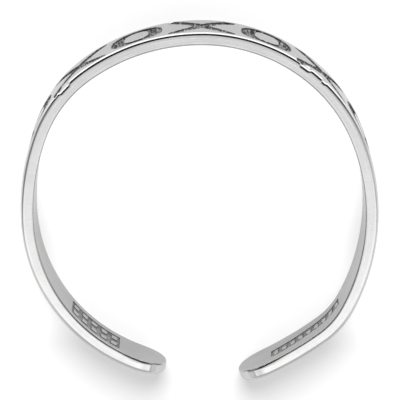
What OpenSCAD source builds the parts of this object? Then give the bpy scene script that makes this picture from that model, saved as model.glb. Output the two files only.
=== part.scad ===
// Toe ring: an open band, bent round by hand, with crosses and oval rings sunk in its outside.
// Millimetres. It lies on its side: the crown is towards +Y, the gap between the ends towards -Y,
// and one edge face rests on z = 0. Positions round the band are lengths from the crown, + to the right.

/* [Bends] */
// Inner radius of the ring; each bend has its own share of it
toe_r = 7.78; // [6.6:0.02:9.4]
// Degrees from the crown to the right end
right_turn = 159; // [150:0.5:163]
// Degrees from the crown to the left end
left_turn = 169.5; // [158:0.5:172]

/* [Band] */
// Thickness of the band
wall = 0.62; // [0.52:0.02:0.9]
// Width of the band at the crown
crown_w = 3.54; // [3.1:0.02:4.4]
// Width of the band at its ends
tip_w = 2.8; // [2.3:0.02:3]
// Rounding of the two outer edges
outer_round = 0.2; // [0.12:0.01:0.26]
// Rounding of the two inner edges
inner_round = 0.1; // [0.06:0.01:0.18]

/* [Figures] */
// Length round the outside from one figure to the next
pitch = 3.1; // [2.9:0.05:3.3]
// Depth that the figures are sunk
sink = 0.18; // [0.1:0.01:0.26]
// Length of a cross from tip to tip
cross_l = 2.94; // [2.4:0.02:3.1]
// Plain band between a cross's tips and the edge
cross_margin = 0.35; // [0.28:0.01:0.6]
// Width of a cross's arm, measured round the band
arm = 0.6; // [0.4:0.02:0.7]
// Length of an oval ring
oval_l = 2.45; // [2:0.05:2.5]
// Plain band between an oval ring and the edge
oval_margin = 0.42; // [0.3:0.01:0.6]
// Width of an oval's groove at its two sides
side_groove = 0.6; // [0.36:0.02:0.7]
// Width of an oval's groove along the edges of the band
edge_groove = 0.46; // [0.3:0.02:0.6]

/* [Stamped panels inside] */
// Depth of both panels
panel_sink = 0.07; // [0.04:0.01:0.12]
// Length of the left panel
left_panel_l = 2.9; // [2:0.05:3.6]
// Width of the left panel
left_panel_w = 1.86; // [1.2:0.02:2]
// Length of plain band between the left panel and the left end
left_panel_gap = 2.4; // [1.6:0.05:4]
// Length of the right panel
right_panel_l = 4.1; // [2.6:0.05:4.6]
// Width of the right panel
right_panel_w = 0.94; // [0.6:0.02:1.1]
// Length of plain band between the right panel and the right end
right_panel_gap = 1.75; // [1.6:0.05:3]
// How far the right panel strays over the band along its length
right_panel_slant = 0.5; // [0:0.05:0.6]
// How far the left panel lies off the middle of the band
left_panel_shift = 0.1; // [0:0.02:0.2]

/* [Hidden] */

// Each bend, from the crown on: its share of that side's turn, and its inner radius as a share of toe_r
right_bends = [[0.25, 0.98], [0.18, 0.925], [0.31, 1.225], [0.16, 0.48], [0.1, 2]];
left_bends = [[0.21, 1.125], [0.205, 0.755], [0.13, 1.345], [0.455, 0.97]];
// Degrees of turn from one station of the band to the next
station_step = 4;
// Rows of points in half of an end's round, and how near to its point they go
end_steps = 8;
end_reach = 86;
// Angles of the points on an outer and an inner rounding
outer_fan = [0, 30, 60, 90];
inner_fan = [90, 45, 0];
// How far a recess's tool stands clear of the surface
clear = 0.3;
// Straightness of a cross's arms: 1 is straight, more draws them in towards the middle
arm_bow = 1.25;
// How square an oval is: 2 is an ellipse
squareness = 2.7;
// Share of its cell that a raised pad of a panel fills
pad_fill = 0.6;

// The plan of the band. side is 1 for the right half and -1 for the left.
function facing(a) = [sin(a), cos(a)];
function bends(side) = side > 0 ? right_bends : left_bends;
function turn(side) = side > 0 ? right_turn : left_turn;
function bend_r(side, i) = toe_r * bends(side)[i][1];
function bend_start(side, i) = i == 0 ? 0 : bend_start(side, i - 1) + turn(side) * bends(side)[i - 1][0];
function is_last(side, i) = i == len(bends(side)) - 1;
function bend_at(side, a, i = 0) =
    is_last(side, i) || a <= bend_start(side, i + 1) ? i : bend_at(side, a, i + 1);
function bend_centre(side, i) = i == 0 ? [0, -bend_r(side, 0)]
    : bend_centre(side, i - 1) + (bend_r(side, i - 1) - bend_r(side, i)) * facing(bend_start(side, i));
// Point of the plan where the band faces angle a, at level n above the inner face
function plan(side, a, n) = let (
    i = bend_at(side, a),
    p = bend_centre(side, i) + (bend_r(side, i) + n) * facing(a)
) [side * p[0], p[1]];

// Lengths round the band at level n, and the angle faced at a given length
function bend_l(side, i, n) = (bend_r(side, i) + n) * turn(side) * bends(side)[i][0] * PI / 180;
function side_l(side, n, i = 0) = bend_l(side, i, n) + (is_last(side, i) ? 0 : side_l(side, n, i + 1));
function facing_at(side, l, n, i = 0) =
    is_last(side, i) || l <= bend_l(side, i, n)
    ? bend_start(side, i) + l / (bend_r(side, i) + n) * 180 / PI
    : facing_at(side, l - bend_l(side, i, n), n, i + 1);

// The width falls evenly from the crown's outside to the lowest point of the ends
low_y = min([for (side = [-1, 1]) for (k = [0.8 : 0.02 : 1]) plan(side, turn(side) * k, wall)[1]]);
function width_at(y) = tip_w + (crown_w - tip_w) * (y - low_y) / (wall - low_y);

// Each end is a half round over the band's width
end_r = tip_w / 2;
function end_facing(side) = turn(side) - end_r / (bend_r(side, len(bends(side)) - 1) + wall / 2) * 180 / PI;

// A station is [side, angle faced, angle round the end]
function half_stations(side) = let (last = end_facing(side), n = ceil(last / station_step)) concat(
    [for (i = [1 : n]) [side, last * i / n, 0]],
    [for (i = [1 : end_steps]) [side, last, end_reach * i / end_steps]]
);
left_half = half_stations(-1);
right_half = half_stations(1);
stations = concat([for (i = [len(left_half) - 1 : -1 : 0]) left_half[i]], [[1, 0, 0]], right_half);

// The section is a list of [level, depth in from the edge face, 1 for the upper edge or -1]
function outer_corner(k) = [wall - outer_round * (1 - cos(k)), outer_round * (1 - sin(k))];
function inner_corner(k) = [inner_round * (1 - cos(k)), inner_round * (1 - sin(k))];
half_section = concat([for (k = outer_fan) outer_corner(k)], [for (k = inner_fan) inner_corner(k)]);
half_n = len(half_section);
section = concat(
    [for (p = half_section) [p[0], p[1], 1]],
    [for (i = [half_n - 1 : -1 : 0]) [half_section[i][0], half_section[i][1], -1]]
);

function band_point(station, p) = let (
    side = station[0],
    past = (end_r - p[1]) * sin(station[2]),
    a = station[1] + past / (bend_r(side, len(bends(side)) - 1) + wall / 2) * 180 / PI,
    q = plan(side, a, p[0]),
    half = width_at(q[1]) / 2
) [q[0], q[1], half + p[2] * (half - p[1]) * cos(station[2])];

// Point at a length round the outside and a share of the half width across, at level n
function wrap(at, across, n, level) = let (
    side = at < 0 ? -1 : 1,
    q = plan(side, facing_at(side, abs(at), level), n),
    half = width_at(q[1]) / 2
) [q[0], q[1], half * (1 + across)];

// Faces that join rings of m points each, capped at both ends or closed into a loop
function quad(a, b, c, d) = [[a, b, c], [a, c, d]];
function flat(lists) = [for (l = lists) for (e = l) e];
function side_faces(n, m, loop) = flat([
    for (i = [0 : loop ? n - 1 : n - 2]) for (k = [0 : m - 1]) let (j = (i + 1) % n, l = (k + 1) % m)
        quad(i * m + k, j * m + k, j * m + l, i * m + l)
]);
function cap_faces(n, m) = let (e = (n - 1) * m) flat([
    for (k = [0 : m / 2 - 2]) concat(
        quad(k, k + 1, m - 2 - k, m - 1 - k),
        quad(e + m - 1 - k, e + m - 2 - k, e + k + 1, e + k)
    )
]);
module skin(rings, loop = false) {
    n = len(rings);
    m = len(rings[0]);
    polyhedron(flat(rings), concat(side_faces(n, m, loop), loop ? [] : cap_faces(n, m)), convexity = 8);
}

// A tool that follows the band between two edges, each a list of [length round, share across]
module recess(edge_a, edge_b, low, high, level, loop = false) {
    skin([for (i = [0 : len(edge_a) - 1]) [
        wrap(edge_a[i][0], edge_a[i][1], low, level),
        wrap(edge_a[i][0], edge_a[i][1], high, level),
        wrap(edge_b[i][0], edge_b[i][1], high, level),
        wrap(edge_b[i][0], edge_b[i][1], low, level)
    ]], loop);
}
module outside_recess(edge_a, edge_b, loop = false) {
    recess(edge_a, edge_b, wall - sink, wall + clear, wall, loop);
}

// A distance from the middle of the crown's width as a share of half that width
function across_share(distance) = 2 * distance / crown_w;

// A cross is two bowed strokes that share its middle. back and front are how far the left stroke reaches.
module cross(at, back, front) {
    for (way = [-1, 1]) {
        from = way < 0 ? -back : -1;
        to = way < 0 ? front : 1;
        spine = [for (i = [0 : 16]) let (t = from + (to - from) * i / 16)
            [at + way * cross_l / 2 * pow(abs(t), arm_bow), t * across_share(crown_w / 2 - cross_margin)]];
        outside_recess([for (p = spine) p + [arm / 2, 0]], [for (p = spine) p - [arm / 2, 0]]);
    }
}

function power(v) = sign(v) * pow(abs(v), 2 / squareness);
function oval_edge(at, long, wide) = [
    for (a = [0 : 10 : 350]) [at + long / 2 * power(cos(a)), wide * power(sin(a))]
];
module oval_ring(at) {
    reach = crown_w / 2 - oval_margin;
    outside_recess(
        oval_edge(at, oval_l, across_share(reach)),
        oval_edge(at, oval_l - 2 * side_groove, across_share(reach - edge_groove)),
        loop = true
    );
}

// The crosses and their left stroke's reach towards the back and the front edge, 1 being inside the edge
crosses = [[-2, 1, 1.36], [0, 1.32, 1], [2, 1, 1.36]];
ovals = [-3, -1, 1, 3];

// A stamped panel inside, from one length round to another, with raised pads left standing in it.
// off_from and off_to are its middle's distances from the band's middle at its two ends.
module panel(side, from, to, off_from, off_to, wide, rows, columns) {
    half = width_at(plan(side, facing_at(side, abs(from), 0), 0)[1]) / 2;
    function middle(t) = [from + (to - from) * t, (off_from + (off_to - off_from) * t) / half];
    share = wide / 2 / half;
    spine = [for (i = [0 : 12]) middle(i / 12)];
    difference() {
        recess([for (p = spine) p - [0, share]], [for (p = spine) p + [0, share]], -clear, panel_sink, 0);
        for (c = [0 : columns - 1]) for (r = [0 : rows - 1]) {
            pad = middle((c + 0.5) / columns) + [0, share * ((2 * r + 1) / rows - 1)];
            long = [(to - from) / columns * pad_fill / 2, 0];
            tall = [0, share / rows * pad_fill];
            recess([for (k = [-1 : 1]) pad + k * long - tall], [for (k = [-1 : 1]) pad + k * long + tall],
                -2 * clear, panel_sink + clear / 2, 0);
        }
    }
}

left_panel_start = left_panel_gap - side_l(-1, 0);
right_panel_end = side_l(1, 0) - right_panel_gap;

rings = [for (s = stations) [for (p = section) band_point(s, p)]];
xs = [for (r = rings) for (p = r) p[0]];
ys = [for (r = rings) for (p = r) p[1]];

module band() {
    color("silver")
    translate([-(max(xs) + min(xs)) / 2, -(max(ys) + min(ys)) / 2, 0])
    difference() {
        skin(rings);
        for (c = crosses) cross(c[0] * pitch, c[1], c[2]);
        for (o = ovals) oval_ring(o * pitch);
        panel(-1, left_panel_start, left_panel_start + left_panel_l,
            left_panel_shift, left_panel_shift, left_panel_w, 2, 5);
        panel(1, right_panel_end - right_panel_l, right_panel_end,
            -right_panel_slant / 2, right_panel_slant / 2, right_panel_w, 1, 9);
    }
}

band();
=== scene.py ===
"""An open silver toe ring, lying on a pale floor: a flat blank is stamped, then bent round by hand."""
import math

import bmesh
import bpy
from bpy.props import FloatProperty, FloatVectorProperty, IntProperty, PointerProperty
from mathutils import Matrix, Vector


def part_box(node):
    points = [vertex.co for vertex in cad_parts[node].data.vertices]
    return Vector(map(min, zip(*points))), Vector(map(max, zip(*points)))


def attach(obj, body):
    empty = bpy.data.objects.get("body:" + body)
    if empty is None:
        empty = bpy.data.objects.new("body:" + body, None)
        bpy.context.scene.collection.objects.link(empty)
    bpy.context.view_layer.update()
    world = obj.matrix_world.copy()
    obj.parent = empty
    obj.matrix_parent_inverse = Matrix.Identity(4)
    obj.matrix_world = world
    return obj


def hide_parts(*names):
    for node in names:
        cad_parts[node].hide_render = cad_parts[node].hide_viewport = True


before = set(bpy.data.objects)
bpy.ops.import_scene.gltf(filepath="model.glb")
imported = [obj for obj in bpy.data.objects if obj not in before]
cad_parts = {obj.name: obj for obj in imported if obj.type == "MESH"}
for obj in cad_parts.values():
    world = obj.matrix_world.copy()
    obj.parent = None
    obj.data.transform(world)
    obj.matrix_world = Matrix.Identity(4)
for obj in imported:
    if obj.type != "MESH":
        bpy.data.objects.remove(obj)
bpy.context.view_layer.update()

bl_info = {
    "name": "Open toe ring",
    "version": (1, 0, 0),
    "blender": (4, 5, 0),
    "location": "3D View > Sidebar > Toe ring",
    "description": "Stamps and bends a silver toe ring with sunk crosses and oval rings, and sets its stage",
    "category": "Add Mesh",
}

MM = 0.001

# Each bend, from the crown on: its share of that side's turn, and its inner radius as a share of the ring's
RIGHT_BENDS = ((0.25, 0.98), (0.18, 0.925), (0.31, 1.225), (0.16, 0.48), (0.1, 2.0))
LEFT_BENDS = ((0.21, 1.125), (0.205, 0.755), (0.13, 1.345), (0.455, 0.97), (0.0, 0.97))

# Knocks in the outer front edge: place round the outside and half length in mm, and share of the deepest one
KNOCKS = ((5.17, 0.36, 1.0), (6.3, 0.16, 0.55), (-7.1, 0.42, 0.8))

# Figures on each side of the middle cross, and columns and rows of pads in each panel
FIGURES_A_SIDE = 3
RIGHT_PADS, LEFT_PADS = (9, 1), (5, 2)

# Mesh rows across the plain outside and inside, round an outer and an inner rounding, and round half an end
COARSE_OUT, COARSE_IN = 12, 6
OUTER_STEPS, INNER_STEPS, END_STEPS = 6, 4, 24

# What each point of the flat blank carries
PLACES = ("along", "level", "inset", "up", "past", "near")


# Sizes and colours

def length(name, description, millimetres, least=0.0):
    """A length, given in millimetres and kept in metres."""
    return FloatProperty(name=name, description=description, default=millimetres * MM, min=least, unit="LENGTH",
                         precision=5)


def angle(name, description, degrees):
    return FloatProperty(name=name, description=description, default=math.radians(degrees), unit="ROTATION")


def share(name, description, value, most=1.0):
    return FloatProperty(name=name, description=description, default=value, min=0.0, max=most, subtype="FACTOR")


def colour(name, description, value):
    return FloatVectorProperty(name=name, description=description, default=value, subtype="COLOR", min=0, max=1)


class ToeRingBand(bpy.types.PropertyGroup):
    """Sizes of the band, the same as the solid's."""
    inner_radius: length("Inner radius", "Inner radius that every bend is a share of", 7.78)
    right_turn: angle("Right turn", "Turn from the crown to the right end", 159)
    left_turn: angle("Left turn", "Turn from the crown to the left end", 169.5)
    wall: length("Wall", "Thickness of the band", 0.62)
    crown_width: length("Width at the crown", "Width of the band at the crown", 3.54)
    tip_width: length("Width at the ends", "Width of the band at its ends", 2.8)
    outer_round: length("Outer rounding", "Rounding of the two outer edges", 0.2)
    inner_round: length("Inner rounding", "Rounding of the two inner edges", 0.1)
    end_bevel: length("End bevel", "Rounding that the inner edges grow to at the two ends", 0.16)
    bevel_run: length("Bevel run", "Length over which the inner edges' rounding grows", 1.3, 1e-6)
    fine_step: length("Fine step", "Mesh step where figures and panels are", 0.037, 1e-6)
    plain_step: length("Plain step", "Mesh step on the plain band", 0.15, 1e-6)
    support: length("Support", "Distance of the rows that keep the flats flat beside a rounding", 0.02)


class ToeRingFigures(bpy.types.PropertyGroup):
    """Sizes of the sunk crosses and oval rings."""
    pitch: length("Pitch", "Length round the outside from one figure to the next", 3.1, 1e-6)
    sink: length("Sink", "Depth that the figures are sunk", 0.18)
    cross_length: length("Cross length", "Length of a cross from tip to tip", 2.94)
    cross_margin: length("Cross margin", "Plain band between a cross's tips and the edge", 0.35)
    arm: length("Arm", "Width of a cross's arm, measured round the band", 0.78)
    arm_bow: FloatProperty(name="Arm bow", description="1 is straight, more draws the arms in", default=1.25)
    back_reach: FloatProperty(name="Back reach", description="How far the middle cross runs to the back",
                              default=1.32)
    front_reach: FloatProperty(name="Front reach", description="How far the outer crosses run to the front",
                               default=1.18)
    oval_length: length("Oval length", "Length of an oval ring", 2.45)
    oval_margin: length("Oval margin", "Plain band between an oval ring and the edge", 0.42)
    side_groove: length("Side groove", "Width of an oval's groove at its two sides", 0.6)
    edge_groove: length("Edge groove", "Width of an oval's groove along the band's edges", 0.46)
    squareness: FloatProperty(name="Squareness", description="2 makes an oval an ellipse", default=2.7)
    knock: length("Knock", "How far the deepest knock pushes the front edge in", 0.09)
    grain: length("Grain", "Height of the rough grain on a recess's floor", 0.09)
    grain_size: length("Grain size", "Size of one grain", 0.16, 1e-6)
    waver: length("Waver", "How much the figures' outlines waver", 0.11)
    seed: IntProperty(name="Seed", description="Seed of the grain", default=7)


class ToeRingPanels(bpy.types.PropertyGroup):
    """Sizes of the two stamped panels inside."""
    sink: length("Sink", "Depth of both panels", 0.07)
    left_length: length("Left length", "Length of the left panel", 2.9)
    left_width: length("Left width", "Width of the left panel", 1.86)
    left_gap: length("Left gap", "Plain band between the left panel and its end", 2.4)
    left_shift: length("Left shift", "How far the left panel lies off the middle", 0.1)
    right_length: length("Right length", "Length of the right panel", 4.1)
    right_width: length("Right width", "Width of the right panel", 0.94)
    right_gap: length("Right gap", "Plain band between the right panel and its end", 1.75)
    right_slant: length("Right slant", "How far the right panel strays over the band", 0.5)
    right_lane: length("Right lane", "How far the right panel's pads stand to the front of its middle", 0.12)
    pad_fill: share("Pad fill", "Share of its cell that a raised pad fills", 0.6)


class ToeRingSilver(bpy.types.PropertyGroup):
    """Colours and polish of the silver."""
    polished: colour("Polished", "Colour of the polished metal", (0.605, 0.605, 0.602))
    # The sunk colour paints the recesses dark: painted shade along their walls and a darker floor
    sunk: colour("Sunk", "Colour of the rough floors of the recesses", (0.06, 0.06, 0.063))
    roughness: share("Roughness", "Roughness of the polished metal", 0.12)
    edge_tint: colour("Edge tint", "Tint of what the metal reflects at a low angle", (0.76, 0.76, 0.76))
    # The inside's darkening is painted shade on its colour; the inside is also a little rougher
    inside_shade: share("Dull inside", "How much darker the less polished inside is", 0.235)


class ToeRingStage(bpy.types.PropertyGroup):
    """Floor, light and camera."""
    floor: colour("Floor", "Colour of the floor", (0.5, 0.5, 0.5))
    glow: FloatProperty(name="Glow", description="Light that comes up through the floor, as on a light table",
                        default=0.3, min=0.0)
    # Inner and outer glow are painted light: the floor glows more where the ring shades it
    inside_painted_light: FloatProperty(name="Inner glow", description="The same light inside the ring, behind the crown",
                              default=0.8, min=0.0)
    beyond_painted_light: FloatProperty(name="Outer glow", description="The same light a little way off the ring",
                              default=1.3, min=0.0)
    clear: length("Clear", "Distance from the ring's middle at which the stronger light starts", 11.5, 1e-6)
    key: FloatProperty(name="Key light", description="Strength of the soft light from above the crown", default=3.6,
                       min=0.0)
    key_height: angle("Key light's height", "Height of the soft light above the floor", 52)
    key_side: angle("Key light's side", "How far the soft light stands to the right of the crown", 0)
    key_soft: angle("Key light's softness", "Angle that the soft light fills", 32)
    lean: angle("Camera's lean", "Camera's lean from straight above, towards the crown", 13.07)
    distance: length("Distance", "Camera's distance from the ring", 155)
    frame_width: length("Frame width", "Width of the picture at the ring", 18.8)
    aim_height: length("Aim height", "Height that the camera is aimed at", 1.583)
    shift_up: length("Shift up", "How far the camera is moved up, which sets the ring lower", 0.192)
    shift_right: length("Shift right", "How far the camera is moved right, which sets the ring to the left", 0.015)
    floor_half: length("Floor's half width", "Half the width of the floor", 1500)


# The band's plan

def bends_of(band, side):
    """[turn, inner radius] of each bend on one side."""
    turn = band.right_turn if side > 0 else band.left_turn
    return [(turn * s, band.inner_radius * r) for s, r in (RIGHT_BENDS if side > 0 else LEFT_BENDS)]


def length_to(band, side, facing, level):
    """Length round the band from the crown to where it faces this angle, at a level above the inner face."""
    total = 0.0
    for turn, radius in bends_of(band, side):
        total += min(facing, turn) * (radius + level)
        facing = max(0.0, facing - turn)
    return total


def facing_at(band, side, along, level):
    """Angle that the band faces at this length from the crown, at a level above the inner face."""
    facing = 0.0
    for turn, radius in bends_of(band, side):
        here = min(along, turn * (radius + level))
        facing += here / (radius + level)
        along -= here
    return facing


def plan_point(band, side, facing, level):
    """Point of the plan with the crown's inner face at the origin."""
    x, y, start = level * math.sin(facing), level * math.cos(facing), 0.0
    bends = bends_of(band, side)
    for i, (turn, radius) in enumerate(bends):
        stop = facing if i == len(bends) - 1 else min(facing, start + turn)
        stop = max(stop, start)
        x += radius * (math.sin(stop) - math.sin(start))
        y += radius * (math.cos(stop) - math.cos(start))
        start += turn
    return side * x, y


def last_radius(side):
    """Inner radius of a side's last bend, as a share of the ring's."""
    return (RIGHT_BENDS if side > 0 else LEFT_BENDS)[-1][1]


def end_facing(band, side):
    """Angle that the band faces where its end starts to round off."""
    turn = band.right_turn if side > 0 else band.left_turn
    return turn - band.tip_width / 2 / (band.inner_radius * last_radius(side) + band.wall / 2)


def low_point(band):
    """Height in the plan of the lowest point of the ends, where the width is the ends' own."""
    turns = {1: band.right_turn, -1: band.left_turn}
    return min(plan_point(band, s, turns[s] * k / 50, band.wall)[1] for s in (1, -1) for k in range(40, 51))


def panel_span(band, panels, side):
    """Where a panel starts and stops, as lengths round the inner face from the crown."""
    whole = length_to(band, side, band.right_turn if side > 0 else band.left_turn, 0.0)
    gap, long = (panels.right_gap, panels.right_length) if side > 0 else (panels.left_gap, panels.left_length)
    return whole - gap - long, whole - gap


# The flat blank

def fan(radius, steps):
    """Points of a rounded edge as (drop from the flat face, depth in from the edge face), flat face first."""
    angles = [math.pi / 2 * k / steps for k in range(steps + 1)]
    return [(radius * (1 - math.cos(a)), radius * (1 - math.sin(a))) for a in angles]


def corner(band):
    """Points round one edge of the band, from its outer flat to its inner flat, as (level, inset)."""
    ro, ri, wall, lip = band.outer_round, band.inner_round, band.wall, band.support
    outer = [(wall - drop, inset) for drop, inset in fan(ro, OUTER_STEPS)]
    middle = [(wall - ro - lip, 0.0), ((wall - ro + ri) / 2, 0.0), (ri + lip, 0.0)]
    return outer + middle + fan(ri, INNER_STEPS)[::-1]


def section(band, outer_rows, inner_rows):
    """The blank's section as a loop of (level, inset, up); up runs from -1 at the back edge to 1 at the front."""
    out_in, in_in = band.outer_round + band.support, band.inner_round + band.support
    loop = [(band.wall, out_in, -1 + 2 * j / outer_rows) for j in range(outer_rows + 1)]
    loop += [(n, d, 1.0) for n, d in corner(band)]
    loop += [(0.0, in_in, 1 - 2 * j / inner_rows) for j in range(inner_rows + 1)]
    loop += [(n, d, -1.0) for n, d in reversed(corner(band))]
    return loop


def spread(start, stop, step):
    """Even steps from start up to, but without, stop."""
    n = max(1, math.ceil((stop - start) / step - 1e-6))
    return [start + (stop - start) * i / n for i in range(n)]


def build_blank(band, figures, panels):
    """A closed flat strip, fine only where it is stamped, whose points carry their place in the bent band."""
    fine, plain = band.fine_step, band.plain_step
    panel_step, border = fine * 1.25, 4 * fine
    fine_out = COARSE_OUT * round((band.crown_width - 2 * band.outer_round) / COARSE_OUT / fine)
    fine_in = COARSE_IN * round((band.tip_width - 2 * band.inner_round) / COARSE_IN / panel_step)
    decorated = FIGURES_A_SIDE * figures.pitch + figures.oval_length / 2 + border

    def half(side):
        """Stations of one side as (length from the crown, turn round the end, rows outside, rows inside)."""
        lo, hi = (length_to(band, side, facing_at(band, side, l, 0.0), band.wall) for l in
                  panel_span(band, panels, side))
        lo, hi = lo - border, hi + border
        end = length_to(band, side, end_facing(band, side), band.wall)
        rows = [(a, 0.0, fine_out, COARSE_IN) for a in spread(0.0, decorated, fine)]
        rows += [(decorated, 0.0, fine_out, COARSE_IN)]
        rows += [(a, 0.0, COARSE_OUT, COARSE_IN) for a in spread(decorated, lo, plain)[1:]]
        rows += [(a, 0.0, COARSE_OUT, fine_in) for a in spread(lo, hi, panel_step)]
        rows += [(hi, 0.0, COARSE_OUT, fine_in)]
        rows += [(a, 0.0, COARSE_OUT, COARSE_IN) for a in spread(hi, end, plain)[1:]]
        rows += [(end, math.pi / 2 * k / END_STEPS, COARSE_OUT, COARSE_IN) for k in range(END_STEPS + 1)]
        return rows

    stations = [(-a, b, o, i, -1) for a, b, o, i in reversed(half(-1)[1:])]
    stations += [(a, b, o, i, 1) for a, b, o, i in half(1)]
    ends = {s: length_to(band, s, end_facing(band, s), band.wall) for s in (1, -1)}
    bm = bmesh.new()
    layers = {n: bm.verts.layers.float.new(n) for n in PLACES}
    sections = {key: section(band, *key) for key in {s[2:4] for s in stations}}
    rings = []
    for along, past, rows_out, rows_in, side in stations:
        ring = []
        near = max(0.0, 1 - (ends[side] - abs(along)) / band.bevel_run)
        for level, inset, up in sections[rows_out, rows_in]:
            v = bm.verts.new((along + side * past * band.tip_width / 2, up * band.crown_width / 2, level))
            for name, value in zip(PLACES, (along, level, inset, up, past, near)):
                v[layers[name]] = value
            ring.append(v)
        rings.append(ring)

    def join(a, b, rows_a, rows_b):
        """Faces between two stations whose flats may hold a different number of rows."""
        turn = len(corner(band)) + 1
        at_a = at_b = 0
        for flat_a, flat_b in zip(rows_a, rows_b):
            pieces = min(flat_a, flat_b)
            for j in range(pieces):
                side_a = [a[at_a + j * flat_a // pieces + k] for k in range(flat_a // pieces + 1)]
                side_b = [b[at_b + j * flat_b // pieces + k] for k in range(flat_b // pieces + 1)]
                bm.faces.new(side_a + side_b[::-1])
            at_a, at_b = at_a + flat_a, at_b + flat_b
            for j in range(turn):
                bm.faces.new((a[(at_a + j) % len(a)], a[(at_a + j + 1) % len(a)],
                              b[(at_b + j + 1) % len(b)], b[(at_b + j) % len(b)]))
            at_a, at_b = at_a + turn, at_b + turn

    for (a, sa), (b, sb) in zip(zip(rings, stations), zip(rings[1:], stations[1:])):
        join(a, b, sa[2:4], sb[2:4])
    mesh = bpy.data.meshes.new("band_blank")
    bm.to_mesh(mesh)
    bm.free()
    return mesh


# Sums in a node tree

class Sum:
    """A value in a node tree, so that a rule can be written as ordinary sums."""

    def __init__(self, tree, socket):
        self.tree, self.socket = tree, socket

    def op(self, kind, *others):
        node = self.tree.nodes.new("ShaderNodeMath")
        node.operation = kind
        for slot, value in zip(node.inputs, (self, *others)):
            plug(self.tree, value, slot)
        return Sum(self.tree, node.outputs[0])

    def __add__(self, o): return self.op("ADD", o)
    def __radd__(self, o): return self.op("ADD", o)
    def __sub__(self, o): return self.op("SUBTRACT", o)
    def __rsub__(self, o): return (self * -1.0) + o
    def __mul__(self, o): return self.op("MULTIPLY", o)
    def __rmul__(self, o): return self.op("MULTIPLY", o)
    def __truediv__(self, o): return self.op("DIVIDE", o)
    def __rtruediv__(self, o): return (self ** -1.0) * o
    def __abs__(self): return self.op("ABSOLUTE")
    def __pow__(self, o): return self.op("POWER", o)
    def over(self, o): return self.op("GREATER_THAN", o)
    def under(self, o): return self.op("LESS_THAN", o)
    def most(self, o): return self.op("MINIMUM", o)
    def least(self, o): return self.op("MAXIMUM", o)
    def root(self): return self.op("SQRT")
    def whole(self): return self.op("ROUND")
    def sin(self): return self.op("SINE")
    def cos(self): return self.op("COSINE")
    def kept(self, low, high): return self.least(low).most(high)

    def smooth(self, low, high, to_low=0.0, to_high=1.0):
        node = self.tree.nodes.new("ShaderNodeMapRange")
        node.interpolation_type = "SMOOTHSTEP"
        for slot, value in zip(node.inputs, (self, low, high, to_low, to_high)):
            plug(self.tree, value, slot)
        return Sum(self.tree, node.outputs[0])


def plug(tree, value, slot):
    """Links a sum or a socket to a slot, or sets a plain value on it."""
    if isinstance(value, Sum):
        tree.links.new(value.socket, slot)
    elif isinstance(value, bpy.types.NodeSocket):
        tree.links.new(value, slot)
    else:
        slot.default_value = value


def choose(test, yes, no):
    """yes where test is 1, no where it is 0."""
    return test * yes + (1.0 - test) * no


def vector(tree, x, y, z):
    node = tree.nodes.new("ShaderNodeCombineXYZ")
    for slot, value in zip(node.inputs, (x, y, z)):
        plug(tree, value, slot)
    return node.outputs[0]


def grain_noise(tree, place, scale, detail=3.0):
    node = tree.nodes.new("ShaderNodeTexNoise")
    for name, value in (("Vector", place), ("Scale", scale), ("Detail", detail), ("Roughness", 0.6)):
        plug(tree, value, node.inputs[name])
    return Sum(tree, node.outputs[0])


# The tree that stamps and bends the blank

def stroke_distance(u, v, way, size, back, front):
    """Distance from one bowed stroke of a cross, below zero inside it."""
    reach = size["Width at the crown"] * 0.5 - size["Cross margin"]
    t = abs(v) / reach
    bow, half = size["Arm bow"], size["Cross length"] * 0.5
    lean = half * bow * (t ** (bow - 1.0)) / reach
    side = (abs(u - (t ** bow) * half * way) - size["Arm"] * 0.5) / (lean * lean + 1.0).root()
    ends = (t - choose(v.over(0.0), front, back)) * reach
    return side.least(ends)


def oval_distance(u, v, long, wide, squareness):
    """Distance from a squarish oval's edge, below zero inside it."""
    x, y = abs(u) / long, abs(v) / wide
    total = (x ** squareness + y ** squareness).least(1e-4)
    gx = (x ** (squareness - 1.0)) / long
    gy = (y ** (squareness - 1.0)) / wide
    steep = (total ** (1.0 / squareness - 1.0)) * (gx * gx + gy * gy).root()
    return ((total ** (1.0 / squareness)) - 1.0) / steep.least(0.25 / long)


def figure_distance(u, v, size):
    """Distance from the nearest sunk figure of the row: crosses and oval rings by turns."""
    index = (u / size["Pitch"]).whole()
    local = u - index * size["Pitch"]
    middle = abs(index).under(0.5)
    back = choose(middle, size["Back reach"], 1.0)
    front = choose(middle, 1.0, size["Front reach"])
    cross = stroke_distance(local, v, -1.0, size, back, front).most(stroke_distance(local, v, 1.0, size, 1.0, 1.0))
    long, wide = size["Oval length"] * 0.5, size["Width at the crown"] * 0.5 - size["Oval margin"]
    rim = oval_distance(local, v, long, wide, size["Squareness"])
    island = oval_distance(local, v, long - size["Side groove"], wide - size["Edge groove"], size["Squareness"])
    oval = rim.least(island * -1.0)
    odd = abs(index).op("MODULO", 2.0).over(0.5)
    beyond = abs(index).over(FIGURES_A_SIDE + 0.5)
    return choose(beyond, 1.0, choose(odd, oval, cross))


def panel_distance(p, q, long, wide, columns, rows, fill, lane, worn):
    """Distance from a panel's sunk part, below zero in it; its worn pads stand. p and q start at its middle."""
    rim = (abs(p) - long * 0.5).least(abs(q) - wide * 0.5)
    cell_l, cell_w = long / columns, wide / rows
    pad_p = abs((p + long * 0.5).op("MODULO", cell_l) - cell_l * 0.5) - cell_l * fill * 0.5
    pad_q = abs((q - lane + wide * 0.5).op("MODULO", cell_w) - cell_w * 0.5) - cell_w * fill * 0.5
    soft = cell_l * 0.12
    out_p, out_q = (pad_p + soft).least(0.0), (pad_q + soft).least(0.0)
    pad = (out_p * out_p + out_q * out_q).root() + (pad_p + soft).least(pad_q + soft).most(0.0) - soft
    return rim.least((pad + worn) * -1.0)


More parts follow.
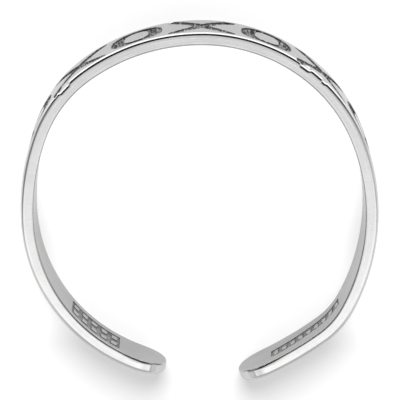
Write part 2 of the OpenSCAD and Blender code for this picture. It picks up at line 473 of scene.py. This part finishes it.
class Bends:
    """The plan of the band as sums in a tree, for whichever side a point is on."""

    def __init__(self, right, size):
        self.right = right
        self.bends = []
        for (turn_r, radius_r), (turn_l, radius_l) in zip(RIGHT_BENDS, LEFT_BENDS):
            turn = choose(right, size["Right turn"] * turn_r, size["Left turn"] * turn_l)
            self.bends.append((turn, choose(right, radius_r, radius_l) * size["Inner radius"]))

    def facing_at(self, along, level):
        rest, facing = along, 0.0
        for turn, radius in self.bends:
            here = rest.most(turn * (radius + level))
            facing = here / (radius + level) + facing
            rest = rest - here
        return facing

    def length_to(self, facing, level):
        total = 0.0
        for turn, radius in self.bends:
            here = facing.most(turn)
            total = here * (radius + level) + total
            facing = facing - here
        return total

    def point(self, facing, level):
        x, y, start = level * facing.sin(), level * facing.cos(), None
        for turn, radius in self.bends:
            stop = facing.most(turn if start is None else start + turn)
            from_sin, from_cos = (0.0, 1.0) if start is None else (start.sin(), start.cos())
            stop = stop if start is None else stop.least(start)
            x = x + radius * (stop.sin() - from_sin)
            y = y + radius * (stop.cos() - from_cos)
            start = turn if start is None else start + turn
        return x, y


def new_tree(name, sizes, whole_numbers):
    """An empty geometry tree with a named input for each size, and those inputs as sums."""
    tree = bpy.data.node_groups.new(name, "GeometryNodeTree")
    tree.is_modifier = True
    tree.interface.new_socket("Geometry", in_out="INPUT", socket_type="NodeSocketGeometry")
    for label in sizes:
        tree.interface.new_socket(label, in_out="INPUT", socket_type="NodeSocketFloat")
    for label in whole_numbers:
        tree.interface.new_socket(label, in_out="INPUT", socket_type="NodeSocketInt")
    tree.interface.new_socket("Material", in_out="INPUT", socket_type="NodeSocketMaterial")
    tree.interface.new_socket("Geometry", in_out="OUTPUT", socket_type="NodeSocketGeometry")
    entry = tree.nodes.new("NodeGroupInput")
    return tree, entry, {label: Sum(tree, entry.outputs[label]) for label in (*sizes, *whole_numbers)}


def kept_number(tree, name):
    """A number that the blank's points carry."""
    node = tree.nodes.new("GeometryNodeInputNamedAttribute")
    node.data_type = "FLOAT"
    node.inputs["Name"].default_value = name
    return Sum(tree, node.outputs["Attribute"])


def stamp_and_bend(sizes, whole_numbers):
    """Sinks the figures and panels into the flat blank, then bends it round its plan."""
    tree, entry, size = new_tree("Stamp and bend", sizes, whole_numbers)
    along, level, inset, up, past, near = (kept_number(tree, n) for n in PLACES)
    wall, crown, cell = size["Wall"], size["Width at the crown"], size["Fine step"]

    # The inner edges' rounding grows towards the ends
    small = size["Inner rounding"]
    grown = small + (size["End bevel"] - small) * near.smooth(0.0, 1.0)
    top = wall - size["Outer rounding"]
    in_fan = level.under(small * 1.001)
    on_edge = inset.under(small * 0.001) * level.under(top * 1.001)
    remapped = (level - small) * (top - grown) / (top - small) + grown
    new_inset = choose(inset.under(small * 1.001), inset * grown / small, inset - small + grown)
    inset = choose(in_fan, new_inset, inset)
    level = choose(in_fan, level * grown / small, choose(on_edge, remapped, level))
    right = along.over(-1e-7)
    side = right * 2.0 - 1.0
    bends = Bends(right, size)

    def half_width(y):
        fall = (y - size["Low point"]) / (wall - size["Low point"])
        return (size["Width at the ends"] + (crown - size["Width at the ends"]) * fall) * 0.5

    # Figures on the outside, whose edges the mesh is drawn on to
    facing = bends.facing_at(abs(along), wall)
    half = half_width(bends.point(facing, wall)[1])
    v = up * (half - inset) / half * crown * 0.5
    outside = level.over(wall * 0.5)

    def cut(u, w):
        """Distance from the figures, whose outlines waver a little as cast ones do."""
        place = vector(tree, u / size["Grain size"], w / size["Grain size"], size["Seed"] + 9.0)
        return figure_distance(u, w, size) + (grain_noise(tree, place, 0.8, 1.0) - 0.5) * size["Waver"]

    # Points close to an outline slide up or down its slope to a whole number of mesh steps from it
    here, reach = cut(along, v), cell * 0.25
    by_u = (cut(along + reach, v) - here) / reach
    by_v = (cut(along, v + reach) - here) / reach
    step = (here / cell).whole()
    close = step.over(-2.5) * step.under(1.5) * outside
    free = abs(up).under(0.99)
    move = (step * cell - here) / (by_u * by_u + by_v * by_v * free).least(0.3) * close
    most = cell * 0.6
    du = (move * by_u).kept(most * -1.0, most)
    dv = (move * by_v * free).kept(most * -1.0, most)
    u2, v2 = along + du, v + dv
    depth = (cut(u2, v2) * -1.0).smooth(cell * -1.0, cell * 2.0) * outside
    place = vector(tree, u2 / size["Grain size"], v2 / size["Grain size"], size["Seed"])
    rough = (grain_noise(tree, place, 1.0) - 0.5) * size["Grain"] * (depth * 2.0 - 1.0).least(0.0)
    level_out = level.most(wall - size["Sink"] * depth + rough)

    # Knocks in the front edge
    knocked = 0.0
    for centre, half_long, much in KNOCKS:
        knocked = abs(along - centre * MM).smooth(half_long * MM, half_long * 0.6 * MM, 0.0, much) + knocked
    by_edge = v.smooth(crown * 0.5 - size["Outer rounding"] * 2.2, crown * 0.5 - size["Outer rounding"] * 0.8)
    level_out = level_out - knocked * size["Knock"] * by_edge * level.smooth(wall * 0.5, wall * 0.75)

    # Panels on the inside
    facing = bends.facing_at(abs(u2), wall)
    inside = level.under(size["Inner rounding"] * 0.01)
    middle = bends.point(facing, 0.0 * wall)
    across = up * (half_width(middle[1]) - inset)
    p = bends.length_to(facing, 0.0 * wall) - choose(right, size["Right panel place"], size["Left panel place"])
    long = choose(right, size["Right panel length"], size["Left panel length"])
    wide = choose(right, size["Right panel width"], size["Left panel width"])
    stray = choose(right, size["Right panel slant"] * (p / long), size["Left panel shift"])
    q = across - stray
    off_edge = abs(q) - wide * 0.5
    snap = abs(off_edge).under(cell * 0.75) * abs(p).under(long * 0.5 + cell * 2.0) * inside * abs(up).under(0.95)
    slide = off_edge * (q.over(0.0) * 2.0 - 1.0) * snap * -1.0
    place = vector(tree, p / size["Grain size"] * 0.7, q / size["Grain size"] * 0.7, size["Seed"] + 5.0)
    worn = (grain_noise(tree, place, 1.0) - 0.5) * size["Grain size"] * 1.3
    columns, rows = (choose(right, *map(float, pads)) for pads in zip(RIGHT_PADS, LEFT_PADS))
    hollow = panel_distance(p, q + slide, long, wide, columns, rows, size["Pad fill"],
                            size["Right panel lane"] * right, worn)
    pressed = (hollow * -1.0).smooth(cell * -0.3, cell * 1.4) * inside
    place = vector(tree, p / size["Grain size"], q / size["Grain size"], size["Seed"] + 3.0)
    uneven = (grain_noise(tree, place, 1.0) - 0.5) * size["Grain"] * 0.35 * pressed
    level_in = level.least((size["Panel sink"] + uneven) * pressed)
    new_level = choose(outside, level_out, level_in)

    # Bending, with each end rounded over the band's width
    end = (size["Width at the ends"] * 0.5 - inset) * past.sin()
    bent = facing + end / (choose(right, last_radius(1), last_radius(-1)) * size["Inner radius"] + wall * 0.5)
    x, y = bends.point(bent, new_level)
    half = half_width(y)
    z = half + past.cos() * (up * (half - inset) + dv * half / crown * 2.0 + slide)
    spot = vector(tree, x * side, y, z)

    place_node = tree.nodes.new("GeometryNodeSetPosition")
    plug(tree, entry.outputs["Geometry"], place_node.inputs["Geometry"])
    plug(tree, spot, place_node.inputs["Position"])
    last = place_node.outputs[0]
    # The values are kept on the flat blank, before its points move
    for name, kind, value in (("sunk", "FLOAT", choose(outside, depth, pressed)),
                              ("strip", "FLOAT_VECTOR", vector(tree, u2, v2 + slide, level))):
        keep = tree.nodes.new("GeometryNodeStoreNamedAttribute")
        keep.data_type, keep.domain = kind, "POINT"
        keep.inputs["Name"].default_value = name
        plug(tree, last, keep.inputs["Geometry"])
        plug(tree, value, keep.inputs["Value"])
        last = keep.outputs[0]
    smooth = tree.nodes.new("GeometryNodeSetShadeSmooth")
    plug(tree, last, smooth.inputs["Geometry"])
    real = tree.nodes.new("GeometryNodeRealizeInstances")
    plug(tree, smooth.outputs[0], real.inputs["Geometry"])
    finish = tree.nodes.new("GeometryNodeSetMaterial")
    plug(tree, real.outputs[0], finish.inputs["Geometry"])
    plug(tree, entry.outputs["Material"], finish.inputs["Material"])
    leave = tree.nodes.new("NodeGroupOutput")
    plug(tree, finish.outputs[0], leave.inputs["Geometry"])
    return tree


# Finishes

def silver_finish(silver):
    """Polished silver with fine rubbing marks round the band; the recesses keep a rough cast floor, painted darker
    with specks, and painted shade darkens their walls.
    """
    mat = bpy.data.materials.new("toe_silver")
    mat.use_nodes = True
    tree = mat.node_tree
    surface = next(n for n in tree.nodes if n.type == "BSDF_PRINCIPLED")
    surface.inputs["Metallic"].default_value = 1.0
    surface.inputs["Specular Tint"].default_value = (*silver.edge_tint, 1)

    def kept(name):
        node = tree.nodes.new("ShaderNodeAttribute")
        node.attribute_name = name
        return node

    sunk = Sum(tree, kept("sunk").outputs["Fac"])
    parts = tree.nodes.new("ShaderNodeSeparateXYZ")
    tree.links.new(kept("strip").outputs["Vector"], parts.inputs[0])
    along, across, level = (Sum(tree, o) for o in parts.outputs)
    coordinate = tree.nodes.new("ShaderNodeTexCoord").outputs["Object"]

    # Noises: soft clouds, specks of the cast floors, rubbing marks round the band and slanting ones
    cloud = grain_noise(tree, coordinate, 900.0, 2.0)
    speck = grain_noise(tree, vector(tree, along * 9000.0, across * 3500.0, level * 9000.0), 1.0, 4.0)
    streak = grain_noise(tree, vector(tree, along * 260.0, across * 16000.0, level * 16000.0), 1.0, 2.0)
    cross_streak = grain_noise(tree, vector(tree, (along + across * 0.5) * 900.0, (across - along * 0.4) * 12000.0,
                                            level * 9000.0), 1.0, 2.0)
    # Places: floors of the recesses, painted darker; their outlines, the painted shade down their walls; their deep
    # parts, darker still (paler in the panels); and the inside
    floor = sunk.smooth(0.03, 0.15)
    outline = floor * sunk.smooth(0.6, 0.4)
    deep = floor * sunk.smooth(0.5, 0.75, 0.75, 1.0) * level.smooth(0.15 * MM, 0.3 * MM, 0.45, 1.0)
    inside = level.smooth(0.14 * MM, 0.02 * MM)

    # The mix paints the recesses dark: painted shade along their walls (outline) and darker speckled floors (deep)
    mix = tree.nodes.new("ShaderNodeMix")
    mix.data_type = "RGBA"
    shade = (deep * speck.smooth(0.58, 0.45, 0.28, 1.0)).least(outline * speck.smooth(0.68, 0.54, 0.35, 1.0))
    plug(tree, shade, mix.inputs[0])
    mix.inputs[6].default_value = (*silver.polished, 1)
    mix.inputs[7].default_value = (*silver.sunk, 1)
    tone = tree.nodes.new("ShaderNodeHueSaturation")
    tree.links.new(mix.outputs[2], tone.inputs["Color"])
    # Painted shade: the inside's colour is made darker by this share
    plug(tree, cloud.smooth(0.3, 0.7, 0.97, 1.03) - inside * silver.inside_shade, tone.inputs["Value"])
    tree.links.new(tone.outputs[0], surface.inputs["Base Color"])

    marks = streak.smooth(0.4, 0.75) * 0.5 + cross_streak.smooth(0.55, 0.8) * 0.5
    polish = marks * 0.07 + cloud * 0.03 + inside * 0.08 + silver.roughness
    plug(tree, choose(floor, speck * 0.3 + 0.3, polish), surface.inputs["Roughness"])

    relief = tree.nodes.new("ShaderNodeBump")
    relief.inputs["Strength"].default_value = 0.5
    relief.inputs["Distance"].default_value = 0.004 * MM
    plug(tree, choose(floor, speck * 25.0, marks), relief.inputs["Height"])
    tree.links.new(relief.outputs[0], surface.inputs["Normal"])
    return mat


def floor_finish(stage):
    """A pale floor that glows like a light table, more inside the ring and beyond it on the crown's side: painted
    light that washes out the ring's shade there and beside the arms, while the plain glow lets the key light's
    shadow show by the arms' ends.
    """
    mat = bpy.data.materials.new("pale_floor")
    mat.use_nodes = True
    tree = mat.node_tree
    surface = next(n for n in tree.nodes if n.type == "BSDF_PRINCIPLED")
    parts = tree.nodes.new("ShaderNodeSeparateXYZ")
    tree.links.new(tree.nodes.new("ShaderNodeTexCoord").outputs["Object"], parts.inputs[0])
    x, y = (Sum(tree, o) for o in parts.outputs[:2])
    # beyond lies past the crown, within inside the ring, and beside along the outside of the two arms: there the
    # stronger glow is painted light over the ring's shade
    away = (x * x + y * y).root()
    beyond = away.smooth(stage.clear, stage.clear * 1.25) * (y / away.least(MM)).smooth(0.2, 0.75)
    within = away.smooth(8.3 * MM, 7.9 * MM) * y.smooth(-2.5 * MM, 2.5 * MM, 0.18, 1.0)
    beside = away.smooth(8.0 * MM, 8.4 * MM) * y.smooth(-7.6 * MM, -5.6 * MM) * y.smooth(2 * MM, -2 * MM, 0.15, 0.5)
    strength = choose(beyond, stage.beyond_painted_light, choose(within.least(beside), stage.inside_painted_light, stage.glow))
    surface.inputs["Base Color"].default_value = (*stage.floor, 1)
    surface.inputs["Roughness"].default_value = 0.9
    surface.inputs["Specular IOR Level"].default_value = 0.1
    surface.inputs["Emission Color"].default_value = (1, 1, 1, 1)
    plug(tree, strength, surface.inputs["Emission Strength"])
    return mat


def studio_light():
    """A soft studio as a world: a pale dome, a sheet on each flank and a dark side behind the crown."""
    world = bpy.data.worlds.new("studio")
    world.use_nodes = True
    tree = world.node_tree
    back = next(n for n in tree.nodes if n.type == "BACKGROUND")
    parts = tree.nodes.new("ShaderNodeSeparateXYZ")
    tree.links.new(tree.nodes.new("ShaderNodeTexCoord").outputs["Generated"], parts.inputs[0])
    x, y, z = (Sum(tree, o) for o in parts.outputs)
    # slant is 0 straight up and 1 level; turned is 1 towards the crown and sideways is 1 to the right
    slant = (x * x + y * y).root()
    turned, sideways = y / slant.least(0.001), x / slant.least(0.001)
    # Overhead the light grows towards the gap, and is even far down on that side
    gap_side = y * -1.0
    dome = gap_side.smooth(0.24, 0.28, 0.95, 1.09) + gap_side.smooth(0.3, 0.345, 0.0, 0.62)
    far = gap_side.smooth(0.4, 0.62)
    # Each flank has a sheet, brighter towards the gap, with a thin darker line under it
    flank = slant.smooth(0.28, 0.45) * abs(sideways).smooth(0.5, 0.8)
    sheet = choose(turned.smooth(-0.3, -0.42), 1.5, 0.75)
    flank_light = choose(z.smooth(0.38, 0.41), choose(z.smooth(0.44, 0.47), sheet, 0.3), 0.9)
    light = choose(flank, flank_light, choose(far, 0.7, dome))
    # The dark side reaches half round to the flanks, and further on the left
    lee = turned - sideways * 0.25
    dark = (turned.smooth(0.1, 0.45) * 0.45 + lee.smooth(-0.35, 0.0) * 0.55) * slant.smooth(0.3, 0.5)
    light = light * (1.0 - dark * 0.97)
    # A bright strip lies along the floor behind the crown
    low, strip = z.smooth(0.2, 0.08) * turned.smooth(0.1, 0.6), 2.5
    plug(tree, choose(low, strip, light), back.inputs["Strength"])
    back.inputs["Color"].default_value = (1, 1, 1, 1)
    return world


# Operators

class TOERING_OT_band(bpy.types.Operator):
    """Stamp the blank with crosses, oval rings and panels, and bend it round its plan"""
    bl_idname = "toering.band"
    bl_label = "Band"

    def execute(self, context):
        scene = context.scene
        band, figures, panels = scene.toe_ring_band, scene.toe_ring_figures, scene.toe_ring_panels
        spans = {side: panel_span(band, panels, side) for side in (1, -1)}
        sizes = {
            "Inner radius": band.inner_radius, "Right turn": band.right_turn, "Left turn": band.left_turn,
            "Wall": band.wall, "Width at the crown": band.crown_width, "Width at the ends": band.tip_width,
            "Low point": low_point(band), "Inner rounding": band.inner_round,
            "End bevel": band.end_bevel, "Outer rounding": band.outer_round, "Fine step": band.fine_step,
            "Pitch": figures.pitch, "Sink": figures.sink, "Cross length": figures.cross_length,
            "Cross margin": figures.cross_margin, "Arm": figures.arm, "Arm bow": figures.arm_bow,
            "Back reach": figures.back_reach, "Front reach": figures.front_reach,
            "Oval length": figures.oval_length, "Oval margin": figures.oval_margin,
            "Side groove": figures.side_groove, "Edge groove": figures.edge_groove,
            "Squareness": figures.squareness, "Knock": figures.knock,
            "Grain": figures.grain, "Grain size": figures.grain_size, "Waver": figures.waver,
            "Panel sink": panels.sink, "Pad fill": panels.pad_fill,
            "Left panel place": sum(spans[-1]) / 2, "Left panel length": panels.left_length,
            "Left panel width": panels.left_width, "Left panel shift": panels.left_shift,
            "Right panel place": sum(spans[1]) / 2, "Right panel length": panels.right_length,
            "Right panel width": panels.right_width, "Right panel slant": panels.right_slant,
            "Right panel lane": panels.right_lane,
        }
        tree = stamp_and_bend(list(sizes), ["Seed"])
        piece = bpy.data.objects.new("toe_band", build_blank(band, figures, panels))
        scene.collection.objects.link(piece)
        stamp = piece.modifiers.new("Stamp and bend", "NODES")
        stamp.node_group = tree
        values = {**sizes, "Seed": figures.seed, "Material": silver_finish(scene.toe_ring_silver)}
        for item in tree.interface.items_tree:
            if item.in_out == "INPUT" and item.name in values:
                stamp[item.identifier] = values[item.name]
        context.view_layer.update()
        graph = context.evaluated_depsgraph_get()
        mesh = bpy.data.meshes.new_from_object(piece.evaluated_get(graph), preserve_all_data_layers=True,
                                               depsgraph=graph)
        piece.modifiers.clear()
        piece.data = mesh
        self.close_ends(mesh)
        self.centre(mesh)
        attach(piece, "root")
        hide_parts("band")
        return {"FINISHED"}

    @staticmethod
    def close_ends(mesh):
        """The rows of each end meet at its point, so they are merged there; the faces are turned outwards."""
        bm = bmesh.new()
        bm.from_mesh(mesh)
        past = bm.verts.layers.float["past"]
        tips = [v for v in bm.verts if v[past] > math.pi / 2 - 1e-4]
        bmesh.ops.remove_doubles(bm, verts=tips, dist=0.0005 * MM)
        bmesh.ops.recalc_face_normals(bm, faces=bm.faces)
        if any(len(e.link_faces) != 2 for e in bm.edges):
            raise RuntimeError("the band isn't closed")
        if bm.calc_volume(signed=True) < 0:
            bmesh.ops.reverse_faces(bm, faces=bm.faces)
        for name in PLACES:
            bm.verts.layers.float.remove(bm.verts.layers.float[name])
        bm.to_mesh(mesh)
        bm.free()
        print("band faces", len(mesh.polygons), "triangles", sum(len(p.vertices) - 2 for p in mesh.polygons))

    @staticmethod
    def centre(mesh):
        """The middle of the band goes where the solid's is."""
        low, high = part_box("band")
        for axis in (0, 1):
            held = [v.co[axis] for v in mesh.vertices]
            move = Vector((0, 0, 0))
            move[axis] = (low[axis] + high[axis] - min(held) - max(held)) / 2
            mesh.transform(Matrix.Translation(move))


class TOERING_OT_stage(bpy.types.Operator):
    """Lay the floor, set the soft studio light and place the camera"""
    bl_idname = "toering.stage"
    bl_label = "Stage"

    def execute(self, context):
        scene, stage = context.scene, context.scene.toe_ring_stage
        bm = bmesh.new()
        bmesh.ops.create_grid(bm, x_segments=1, y_segments=1, size=stage.floor_half)
        # The floor lies a hair under the ring's edge face
        bmesh.ops.translate(bm, verts=bm.verts, vec=(0, 0, -0.002 * MM))
        mesh = bpy.data.meshes.new("pale_floor")
        bm.to_mesh(mesh)
        bm.free()
        mesh.materials.append(floor_finish(stage))
        floor = bpy.data.objects.new("pale_floor", mesh)
        scene.collection.objects.link(floor)
        scene.world = studio_light()
        self.place_key(scene, stage)
        self.place_camera(scene, stage)
        scene.view_settings.view_transform = "Standard"
        scene.view_settings.look = "None"
        return {"FINISHED"}

    @staticmethod
    def place_key(scene, stage):
        """The soft light only brightens the floor, so the metal mirrors the studio alone."""
        data = bpy.data.lights.new("key_light", "SUN")
        data.energy, data.angle = stage.key, stage.key_soft
        key = bpy.data.objects.new("key_light", data)
        toward = Vector((math.sin(stage.key_side) * math.cos(stage.key_height),
                         math.cos(stage.key_side) * math.cos(stage.key_height), math.sin(stage.key_height)))
        key.matrix_world = toward.to_track_quat("Z", "Y").to_matrix().to_4x4()
        key.visible_glossy = False
        scene.collection.objects.link(key)

    @staticmethod
    def place_camera(scene, stage):
        """The camera leans towards the crown, as the photograph does."""
        toward = Vector((0, math.sin(stage.lean), math.cos(stage.lean)))
        up = Vector((0, math.cos(stage.lean), -math.sin(stage.lean)))
        right = Vector((1, 0, 0))
        aim = Vector((0, 0, stage.aim_height))
        data = bpy.data.cameras.new("camera")
        data.sensor_width = 36.0
        data.lens = data.sensor_width * stage.distance / stage.frame_width
        data.clip_start = 0.005
        camera = bpy.data.objects.new("camera", data)
        place = aim + toward * stage.distance + up * stage.shift_up + right * stage.shift_right
        camera.matrix_world = Matrix.Translation(place) @ Matrix((right, up, toward)).transposed().to_4x4()
        scene.collection.objects.link(camera)
        scene.camera = camera


class TOERING_PT_panel(bpy.types.Panel):
    """Sizes and steps of the toe ring"""
    bl_idname = "TOERING_PT_panel"
    bl_label = "Toe ring"
    bl_space_type = "VIEW_3D"
    bl_region_type = "UI"
    bl_category = "Toe ring"

    def draw(self, context):
        for group in GROUPS:
            box = self.layout.box()
            for name in GROUPS[group].__annotations__:
                box.prop(getattr(context.scene, group), name)
        for operator in (TOERING_OT_band, TOERING_OT_stage):
            self.layout.operator(operator.bl_idname)


GROUPS = {"toe_ring_band": ToeRingBand, "toe_ring_figures": ToeRingFigures, "toe_ring_panels": ToeRingPanels,
          "toe_ring_silver": ToeRingSilver, "toe_ring_stage": ToeRingStage}
CLASSES = (*GROUPS.values(), TOERING_OT_band, TOERING_OT_stage, TOERING_PT_panel)


def register():
    for cls in CLASSES:
        bpy.utils.register_class(cls)
    for name, group in GROUPS.items():
        setattr(bpy.types.Scene, name, PointerProperty(type=group))


def unregister():
    for name in GROUPS:
        delattr(bpy.types.Scene, name)
    for cls in reversed(CLASSES):
        bpy.utils.unregister_class(cls)


def main():
    register()
    bpy.ops.toering.band()
    bpy.ops.toering.stage()


if __name__ == "__main__":
    main()
